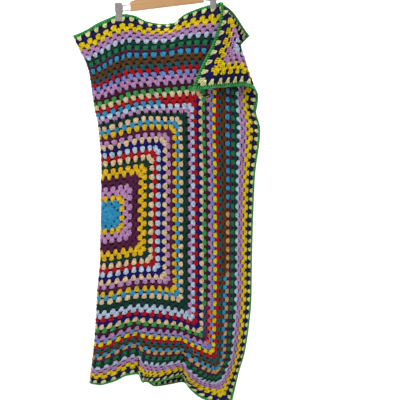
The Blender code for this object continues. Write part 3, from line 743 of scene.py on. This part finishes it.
def cluster_places(side, number):
    """Foot of each cluster of one side of a round, as (u, v), and its place along the side."""
    found = []
    for i in range(number):
        ends = (i == number - 1) - (i == 0)
        offset = 2.0 * i - (number - 1) - CORNER_PULL * ends
        if side in "RL" and number > SKIPPED_ROUND:
            # these sides are one round shorter, because the top skips one
            offset = (offset + number) * (2 * number - 1) / (2 * number) - number
        found.append((at_side(side, offset, foot(side, number)), offset))
    return found


def yarn(name):
    """The material of a yarn, made the first time that it is asked for."""
    label = name.replace("_", " ")
    made = bpy.data.materials.get("plied acrylic yarn " + label)
    return made or acrylic_yarn(label, (*getattr(bpy.context.scene.afghan_yarns, name), 1.0))


def settle(piece, slot, *nodes):
    """Fix a piece to the part: it rides on the body and stands for its nodes. The slot argument is not used."""
    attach(piece, BODY)
    if nodes:
        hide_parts(*nodes)
    return piece


class YarnColours(bpy.types.PropertyGroup):
    """Colours of the yarns"""

    __annotations__ = {
        key: bpy.props.FloatVectorProperty(
            name=key.replace("_", " ").capitalize(), description="Yarn colour " + key.replace("_", " "),
            subtype="COLOR", size=3, min=0.0, max=1.0, default=linear(code)[:3])
        for key, code in YARNS.items()}


class StitchSizes(bpy.types.PropertyGroup):
    """Sizes of the stitches"""

    puff: bpy.props.FloatProperty(
        name="Puff", description="How far the stitches stand off the cloth, as a share of their drawn size",
        default=1.0, min=0.5, max=1.6, subtype="FACTOR")
    unevenness: bpy.props.FloatProperty(
        name="Unevenness", description="How much the stitches differ from each other in size and lean",
        default=0.09, min=0.0, max=0.3, subtype="FACTOR")
    edging_pitch: bpy.props.FloatProperty(
        name="Edging pitch", description="Distance between the stitches of the edging",
        default=6.2 * MM, min=4 * MM, max=12 * MM, unit="LENGTH")


class HangerSizes(bpy.types.PropertyGroup):
    """Sizes of the hanger's fittings"""

    spring_wire: bpy.props.FloatProperty(
        name="Spring wire", description="Radius of the clip springs' wire",
        default=0.7 * MM, min=0.3 * MM, max=1.5 * MM, unit="LENGTH")
    spring_turns: bpy.props.IntProperty(
        name="Spring turns", description="Turns of each clip spring", default=5, min=2, max=9)


class StageSizes(bpy.types.PropertyGroup):
    """Sizes of the studio"""

    distance: bpy.props.FloatProperty(
        name="Camera distance", description="From the camera to the hanger's plane",
        default=2.4, min=1.0, max=10.0, unit="LENGTH")
    frame_height: bpy.props.FloatProperty(
        name="Frame height", description="Height of the picture at the hanger's plane",
        default=1.34, min=0.5, max=4.0, unit="LENGTH")
    floor_drop: bpy.props.FloatProperty(
        name="Floor drop", description="From the lowest point of the blanket to the floor",
        default=0.10, min=0.0, max=1.0, unit="LENGTH")


def spread_of(rng, count, amount, puff=1.0):
    """Uneven sizes and leans for so many stitches."""
    sizes = 1.0 + amount * rng.standard_normal((count, 3)).clip(-2, 2) * np.array(VARIES)
    sizes[:, 2] *= puff
    return sizes, VARIES_LEAN * amount * rng.standard_normal(count)


class AFGHAN_OT_rounds(bpy.types.Operator):
    """Crochet the blanket's rounds, one piece for each"""

    bl_idname = "afghan.rounds"
    bl_label = "Crochet the rounds"

    def execute(self, context):
        sizes_of = context.scene.afghan_stitches
        cluster, corner = cluster_stitch(), corner_stitch()
        rng = np.random.default_rng(SEED)
        for number in range(1, LAST_ROUND + 1):
            sides = [s for s in "TRBL" if not (s == "T" and number == SKIPPED_ROUND)]
            rows = [(place, side, yarn_name(side, number, along))
                    for side in sides for place, along in cluster_places(side, number)]
            turns = []
            for side, (u, v) in (("T", (1, 1)), ("R", (1, -1)), ("B", (-1, -1)), ("L", (-1, 1))):
                inner = foot("T", number) if v > 0 else number - 1
                turns.append(((u * (number - 1), v * inner), side, yarn_name(side, number, number)))
            names = sorted({row[2] for row in rows + turns})
            groups = []
            for shape, chosen in ((cluster, rows), (corner, turns)):
                size, lean = spread_of(rng, len(chosen), sizes_of.unevenness, sizes_of.puff)
                if number == LAST_ROUND:
                    size[:, :2] *= LAST_SIZE
                groups.append((shape, [row[0] for row in chosen], [row[1] for row in chosen], size, lean,
                               [names.index(row[2]) for row in chosen]))
            piece = stitch_mesh(f"round_{number:02d}", groups, [yarn(name) for name in names])
            settle(piece, "crocheted_yarn")
        return {"FINISHED"}


class AFGHAN_OT_edging(bpy.types.Operator):
    """Crochet the green edging over the rim"""

    bl_idname = "afghan.edging"
    bl_label = "Crochet the edging"

    def execute(self, context):
        sizes_of = context.scene.afghan_stitches
        pitch = sizes_of.edging_pitch / ROW
        rng = np.random.default_rng(SEED + 1)
        rows = []
        for side, start, end, inner in (("T", -EDGE, EDGE, TOP_RIM), ("R", -EDGE, TOP_EDGE, RIM),
                                        ("B", -EDGE, EDGE, RIM), ("L", -EDGE, TOP_EDGE, RIM)):
            for along in np.linspace(start, end, round((end - start) / pitch) + 1)[:-1] + pitch / 2:
                rows.append((at_side(side, along, inner), side))
        size, lean = spread_of(rng, len(rows), sizes_of.unevenness, sizes_of.puff)
        places, sides = zip(*rows)
        piece = stitch_mesh("edging_stitches", [(edging_stitch(), places, sides, size, lean, [0] * len(rows))],
                            [yarn("leaf_green")])
        settle(piece, "green_yarn", "green_edging")
        return {"FINISHED"}


# Loose yarn ends: place on the flat cloth, heading on it in degrees from straight up, length in mm, yarn
TAILS = named(
    "u v heading length yarn",
    (21.1, 10.9, 200, 34, "beige"),
    (14.8, 27.4, 150, 22, "pale_blue"),
    (26.6, -33.8, 120, 24, "lilac"),
    (30.2, 26.0, 200, 20, "pale_yellow"),
    (9.5, -27.0, 100, 18, "beige"),
    (37.6, -12.0, 170, 22, "lilac"),
    (-20.0, 14.0, 190, 26, "beige"),
    (-31.0, -20.0, 160, 24, "pale_blue"),
)


class AFGHAN_OT_tails(bpy.types.Operator):
    """Lay the short yarn ends that were left at the changes of colour"""

    bl_idname = "afghan.tails"
    bl_label = "Lay the yarn ends"

    def execute(self, context):
        names = sorted({row["yarn"] for row in TAILS})
        groups = []
        for row in TAILS:
            bend = math.radians(row["heading"])
            path = []
            # an end curls by up to 0.8 rad and lies 3.4 to 4.8 mm off the cloth
            for t in np.linspace(0.0, 1.0, 9):
                angle = bend + 0.8 * math.sin(3.4 * t)
                path.append((row["length"] * t * math.sin(angle), row["length"] * t * math.cos(angle),
                             3.4 + 1.4 * math.sin(2.6 * t)))
            shape = gather([tube(path, [0.9] * 8 + [0.6])])
            groups.append((shape, [(row["u"], row["v"])], ["T"], np.ones((1, 3)), np.zeros(1),
                           [names.index(row["yarn"])]))
        settle(stitch_mesh("yarn_ends", groups, [yarn(name) for name in names]), "crocheted_yarn")
        return {"FINISHED"}


# A dark sheet under the stitches over the whole cloth; its colour is painted shade for the gaps between the
# stitches, where the real blanket has no sheet
class AFGHAN_OT_ground(bpy.types.Operator):
    bl_idname = "afghan.ground"
    bl_label = "Lay the ground"

    def execute(self, context):
        columns = np.linspace(-EDGE, EDGE, 2 * LAST_ROUND + 1)
        levels = np.linspace(-EDGE, TOP_EDGE, 2 * LAST_ROUND)
        wide, high = len(columns), len(levels)
        u, v = np.meshgrid(columns, levels)
        faces = [(j * wide + i, j * wide + i + 1, (j + 1) * wide + i + 1, (j + 1) * wide + i)
                 for j in range(high - 1) for i in range(wide - 1)]
        mesh = bpy.data.meshes.new("painted_shade_sheet")
        mesh.from_pydata(drape(u, v).reshape(-1, 3), [], faces)
        mesh.polygons.foreach_set("use_smooth", np.ones(len(faces), dtype=bool))
        marks = mesh.uv_layers.new(name="yarn")
        corner = np.array([index for face in faces for index in face])
        flat = np.stack([u.ravel(), v.ravel()], axis=1)[corner] * ROW / MM
        marks.data.foreach_set("uv", flat.astype(np.float32).ravel())
        # the sheet takes the shade colour: painted shade
        mesh.materials.append(yarn("shade"))
        piece = settle(placed("painted_shade_sheet", mesh), "crocheted_yarn", "blanket_cloth")
        return {"FINISHED"}


def hanger_frame():
    """From the hanger's own frame, level and centred on the bar, to the world."""
    return Matrix.Translation(BAR_CENTRE) @ Matrix.Rotation(-TILT, 4, "Y")


def as_mesh(name, curve, look):
    """A piece with the surface that a curve makes."""
    shape = placed(name + "_path", curve)
    mesh = bpy.data.meshes.new_from_object(shape.evaluated_get(bpy.context.evaluated_depsgraph_get()))
    bpy.data.objects.remove(shape)
    mesh.name = name
    mesh.materials.clear()
    mesh.materials.append(look)
    mesh.shade_smooth()
    mesh.set_sharp_from_angle(angle=math.radians(50))
    return placed(name, mesh)


def wire_piece(name, points, radius, look, sides=4):
    """A smooth round wire through the points, as a mesh."""
    path = bpy.data.curves.new(name, "CURVE")
    path.dimensions = "3D"
    path.bevel_depth = radius
    path.bevel_resolution = sides
    path.use_fill_caps = True
    line = path.splines.new("POLY")
    line.points.add(len(points) - 1)
    for place, point in zip(line.points, points):
        place.co = (*point, 1.0)
    return as_mesh(name, path, look)


def beech_bar():
    """The bar: flat below, crowned above, with its long edges rounded over."""
    half, low = BAR_LENGTH / 2 - BAR_ROUNDING, -BAR_HEIGHT / 2 + BAR_ROUNDING
    crown = [(half * math.cos(a), -low + BAR_CROWN * math.sin(a) ** 1.5) for a in np.linspace(0.0, math.pi, 65)]
    outline = bpy.data.curves.new("beech_bar", "CURVE")
    outline.dimensions = "2D"
    outline.fill_mode = "BOTH"
    outline.extrude = BAR_THICK / 2 - BAR_ROUNDING
    outline.bevel_depth = BAR_ROUNDING
    outline.bevel_resolution = 6
    line = outline.splines.new("POLY")
    points = [(-half, low), (half, low)] + crown
    line.points.add(len(points) - 1)
    for place, (x, z) in zip(line.points, points):
        place.co = (x, z, 0.0, 1.0)
    line.use_cyclic_u = True
    bar = as_mesh("beech_bar", outline, lacquered_beech())
    bar.matrix_world = hanger_frame() @ Matrix.Rotation(math.pi / 2, 4, "X")
    return bar


def hook_path():
    """Along the hook: its bend about the rail, then its shank down to the ferrule."""
    radius = HOOK_RADIUS + HOOK_WIRE
    bend = [Vector((radius * math.sin(a), 0.0, radius * math.cos(a) - HOOK_RADIUS))
            for a in np.linspace(*HOOK_ENDS, 64)]
    up = hanger_frame().to_3x3() @ Vector((0.0, 0.0, 1.0))
    foot_of_shank = hanger_frame() @ Vector((0.0, 0.0, BAR_HEIGHT / 2 + BAR_CROWN)) + up * (FERRULE + FIT)
    lead = Vector((math.cos(HOOK_ENDS[1]), 0.0, -math.sin(HOOK_ENDS[1]))) * HOOK_LEAD
    return bend + [cubic(float(t), bend[-1], foot_of_shank, 1.0, lead, -up * HOOK_ARRIVE)
                   for t in np.linspace(0.0, 1.0, 26)[1:]]


# The ferrule's outline in millimetres
FERRULE_RINGS = named(
    "height radius",
    (0.0, 6.0), (0.6, 6.4), (1.8, 6.4), (2.4, 5.7), (9.0, 4.7), (10.2, 4.9), (11.4, 4.6), (11.7, 3.9),
)


def ferrule_cap(look):
    """The turned cap that holds the hook on the bar."""
    form = bmesh.new()
    rings = [[form.verts.new(Vector((row["radius"] * MM * math.cos(a), row["radius"] * MM * math.sin(a),
                                     row["height"] * MM))) for a in np.linspace(0.0, math.tau, 33)[:-1]]
             for row in FERRULE_RINGS]
    for low, high in zip(rings, rings[1:]):
        for i in range(32):
            j = (i + 1) % 32
            form.faces.new((low[i], low[j], high[j], high[i]))
    form.faces.new(rings[0][::-1])
    form.faces.new(rings[-1])
    cap = from_form("ferrule_cap", form, look)
    cap.data.set_sharp_from_angle(angle=math.radians(40))
    cap.matrix_world = hanger_frame() @ Matrix.Translation((0, 0, BAR_HEIGHT / 2 + BAR_CROWN + FIT))
    return cap


def rail_path(side, clip):
    """Along one rail: out from the bar's end, round its end bend and back."""
    reach = abs(clip.x - BAR_CENTRE.x) / math.cos(TILT)
    half = RAIL_SPACING / 2
    start = BAR_LENGTH / 2 + FIT
    line = [(side * start, 0.0, half), (side * reach, 0.0, half)]
    line += [(side * (reach + half * RAIL_BEND * math.sin(a)), 0.0, half * math.cos(a))
             for a in np.linspace(0.0, math.pi, 29)[1:-1]]
    line += [(side * reach, 0.0, -half), (side * start, 0.0, -half)]
    return [hanger_frame() @ (Vector(point) + Vector((0.0, 0.0, -RAIL_DROP))) for point in line]


class AFGHAN_OT_hanger(bpy.types.Operator):
    """Finish the wooden bar, and draw the hook, its ferrule and the two wire rails"""

    bl_idname = "afghan.hanger"
    bl_label = "Make the hanger"

    def execute(self, context):
        chrome = metal("chromed drawn steel wire", linear("5E5D5D"), 0.34, 1.0, 0.8)
        settle(beech_bar(), "wood", "hanger_bar")
        settle(wire_piece("hook_wire", hook_path(), HOOK_WIRE, chrome, 6), "steel_wire", "hook")
        settle(ferrule_cap(chrome), "steel_wire", "ferrule")
        for name, side, clip in (("left", -1.0, LEFT_CLIP), ("right", 1.0, RIGHT_CLIP)):
            settle(wire_piece(name + "_rail_wire", rail_path(side, clip), WIRE_RADIUS, chrome, 5),
                   "steel_wire", name + "_rail")
        return {"FINISHED"}


def jaw_stand(up):
    """Distance of a jaw's middle from the clip's middle plane; up runs from 0 at its lip to 1 at its top."""
    press = GRIP + EDGING_THICK / 2 + FIT + JAW_THICK / 2
    return press + (JAW_SPREAD - press) * max(0.0, up - JAW_BEND) / (1.0 - JAW_BEND)


# Pressed form of a jaw; shares are of its height, or of half its width
HEAD = 0.50  # it is wider above this share
HEAD_WIDER = 0.14
HEAD_STEP = 0.06  # share over which it widens
CORNER_HIGH = 3.2 * MM  # its rounded corners
CORNER_IN = 0.16
RIB_HIGH = 0.5 * MM
RIB_WIDE = 0.30
RIB_ENDS = (0.10, 0.92)
RIB_FADE = 9  # the rib fades over a ninth of the height
HOLLOW = 0.5 * MM  # its sides bend in by this
TURN_OUT = 0.3 * MM
PLATE = 1.5 * MM  # thickness of the pressed plate


def jaw_plate(name, clip, face, look):
    """Pressed steel jaw: rounded corners, a stiffening rib down its middle and a turned lip."""
    form = bmesh.new()
    bmesh.ops.create_grid(form, x_segments=18, y_segments=40, size=0.5)
    for point in form.verts:
        up = point.co.y + 0.5
        side = point.co.x * 2
        end = min(up, 1.0 - up) * CLIP_HEIGHT / CORNER_HIGH
        pinch = 1.0 - CORNER_IN * max(0.0, 1.0 - end) ** 2
        wide = (1.0 + HEAD_WIDER * min(1.0, max(0.0, (up - HEAD) / HEAD_STEP))) * pinch
        rib = RIB_HIGH * math.exp(-(side / RIB_WIDE) ** 2) * min(1.0, max(0.0, (up - RIB_ENDS[0]) * RIB_FADE))
        rib *= min(1.0, max(0.0, (RIB_ENDS[1] - up) * RIB_FADE))
        hollow = HOLLOW * side ** 2 * min(1.0, up * 5)
        point.co = Vector((point.co.x * CLIP_WIDTH * wide, face * (jaw_stand(up) + rib - hollow + TURN_OUT * up),
                           (up - 0.5) * CLIP_HEIGHT))
    piece = from_form(name, form, look)
    piece.location = clip
    shell = piece.modifiers.new("plate", "SOLIDIFY")
    shell.thickness = PLATE
    shell.offset = 0.0
    edge = piece.modifiers.new("edges", "BEVEL")
    edge.width = 0.4 * MM
    edge.segments = 2
    edge.limit_method = "ANGLE"
    return piece


class AFGHAN_OT_clips(bpy.types.Operator):
    """Press the two clips: their jaws, pivot pins and springs"""

    bl_idname = "afghan.clips"
    bl_label = "Make the clips"

    def execute(self, context):
        sizes_of = context.scene.afghan_hanger
        plate = metal("grey coated pressed steel", linear("8A8583"), 0.55, 0.15, 1.2)
        spring = metal("hard drawn spring wire", linear("9C9A97"), 0.28, 1.0, 0.8)
        for name, clip in (("left", LEFT_CLIP), ("right", RIGHT_CLIP)):
            settle(jaw_plate(name + "_front_plate", clip, -1.0, plate), "grey_plate", name + "_front_jaw")
            settle(jaw_plate(name + "_back_plate", clip, 1.0, plate), "grey_plate", name + "_back_jaw")
            rail = BAR_CENTRE.z + (clip.x - BAR_CENTRE.x) * math.tan(TILT) - RAIL_DROP / math.cos(TILT)
            height = rail + (RAIL_SPACING / 2 + WIRE_RADIUS) / math.cos(TILT) + PIVOT_RADIUS + FIT
            reach = jaw_stand((height - clip.z) / CLIP_HEIGHT + 0.5) - PLATE
            pin = [clip + Vector((0.0, y, height - clip.z)) for y in np.linspace(-reach, reach, 9)]
            settle(wire_piece(name + "_pin", pin, PIVOT_RADIUS, spring, 6), "steel_wire", name + "_pivot")
            wind = PIVOT_RADIUS + sizes_of.spring_wire + 0.3 * MM
            turns = sizes_of.spring_turns
            coil = []
            for t in np.linspace(0.0, 1.0, turns * 20 + 1):
                a = t * turns * math.tau
                coil.append(clip + Vector((wind * math.cos(a), (2 * t - 1) * reach * 0.62,
                                           height - clip.z + wind * math.sin(a))))
            for end, face in ((0, -1.0), (-1, 1.0)):
                leg = [coil[end] + Vector((0.0, face * 2.0 * MM * s, 8 * MM * s)) for s in (0.4, 0.8, 1.0)]
                coil = leg[::-1] + coil if end == 0 else coil + leg
            settle(wire_piece(name + "_coil", coil, sizes_of.spring_wire, spring, 3), "steel_wire")
        return {"FINISHED"}


# Studio, in metres: the paper runs from in front of the hanger, bends up behind it and stands there
SWEEP_SIDE = 7.0
SWEEP_FRONT = 6.0
SWEEP_BEND = 1.2
SWEEP_RADIUS = 1.0
SWEEP_HEIGHT = 6.0
CAMERA_X = 0.1216
CAMERA_Z = -0.787
LAMPS = named(
    "name place aim size power",
    ("key", (-1.2, -2.2, 1.1), (0.05, 0.1, -0.8), 1.4, 42.0),
    ("fill", (2.0, -2.4, -0.2), (0.05, 0.1, -0.8), 2.0, 12.0),
    ("backdrop", (0.0, 0.5, 1.4), (0.0, 2.2, -0.6), 1.6, 60.0),
)


class AFGHAN_OT_stage(bpy.types.Operator):
    """Set up the pale studio sweep, the soft lights and the camera"""

    bl_idname = "afghan.stage"
    bl_label = "Set the stage"

    def execute(self, context):
        sizes_of = context.scene.afghan_stage
        floor = CAD_BOX[0].z - sizes_of.floor_drop
        profile = [(-SWEEP_FRONT, 0.0), (SWEEP_BEND, 0.0)]
        profile += [(SWEEP_BEND + SWEEP_RADIUS * math.sin(a), SWEEP_RADIUS - SWEEP_RADIUS * math.cos(a))
                    for a in np.linspace(0.0, math.pi / 2, 17)[1:]]
        profile += [(SWEEP_BEND + SWEEP_RADIUS, SWEEP_HEIGHT)]
        form = bmesh.new()
        rings = [[form.verts.new((x, y, floor + z)) for y, z in profile] for x in (-SWEEP_SIDE, SWEEP_SIDE)]
        for i in range(len(profile) - 1):
            form.faces.new((rings[0][i], rings[1][i], rings[1][i + 1], rings[0][i + 1]))
        from_form("studio_sweep", form, matt_paper("white background paper", linear("F6F6F5")))

        world = bpy.data.worlds.new("studio")
        world.use_nodes = True
        surround = world.node_tree.nodes["Background"]
        surround.inputs["Color"].default_value = (1.0, 1.0, 1.0, 1.0)
        surround.inputs["Strength"].default_value = 0.55
        context.scene.world = world
        for row in LAMPS:
            lamp = bpy.data.lights.new(row["name"], "AREA")
            lamp.size = row["size"]
            lamp.energy = row["power"]
            light = placed(row["name"], lamp)
            light.location = row["place"]
            light.rotation_euler = (Vector(row["aim"]) - Vector(row["place"])).to_track_quat("-Z", "Y").to_euler()

        view = bpy.data.cameras.new("camera")
        view.sensor_width = 36.0
        view.lens = view.sensor_width * sizes_of.distance / sizes_of.frame_height
        camera = placed("camera", view)
        camera.location = (CAMERA_X, -sizes_of.distance, CAMERA_Z)
        camera.rotation_euler = (math.pi / 2, 0.0, 0.0)
        context.scene.camera = camera
        context.scene.view_settings.view_transform = "Standard"
        return {"FINISHED"}


STEPS = (AFGHAN_OT_stage, AFGHAN_OT_rounds, AFGHAN_OT_edging, AFGHAN_OT_tails, AFGHAN_OT_ground,
         AFGHAN_OT_hanger, AFGHAN_OT_clips)
GROUPS = {"afghan_yarns": YarnColours, "afghan_stitches": StitchSizes, "afghan_hanger": HangerSizes,
          "afghan_stage": StageSizes}


class AFGHAN_PT_panel(bpy.types.Panel):
    """Lists the steps and their sizes"""

    bl_label = "Crocheted afghan"
    bl_idname = "AFGHAN_PT_panel"
    bl_space_type = "VIEW_3D"
    bl_region_type = "UI"
    bl_category = "Afghan"

    def draw(self, context):
        for step in STEPS:
            self.layout.operator(step.bl_idname)
        for name, group in GROUPS.items():
            box = self.layout.box()
            box.label(text=group.__doc__)
            for key in group.__annotations__:
                box.prop(getattr(context.scene, name), key)


def register():
    for group in GROUPS.values():
        bpy.utils.register_class(group)
    for step in (*STEPS, AFGHAN_PT_panel):
        bpy.utils.register_class(step)
    for name, group in GROUPS.items():
        setattr(bpy.types.Scene, name, bpy.props.PointerProperty(type=group))


def unregister():
    for name in GROUPS:
        delattr(bpy.types.Scene, name)
    for step in (AFGHAN_PT_panel, *reversed(STEPS)):
        bpy.utils.unregister_class(step)
    for group in reversed(GROUPS.values()):
        bpy.utils.unregister_class(group)


def main():
    register()
    bpy.ops.afghan.stage()
    bpy.ops.afghan.rounds()
    bpy.ops.afghan.edging()
    bpy.ops.afghan.tails()
    bpy.ops.afghan.ground()
    bpy.ops.afghan.hanger()
    bpy.ops.afghan.clips()


if __name__ == "__main__":
    main()
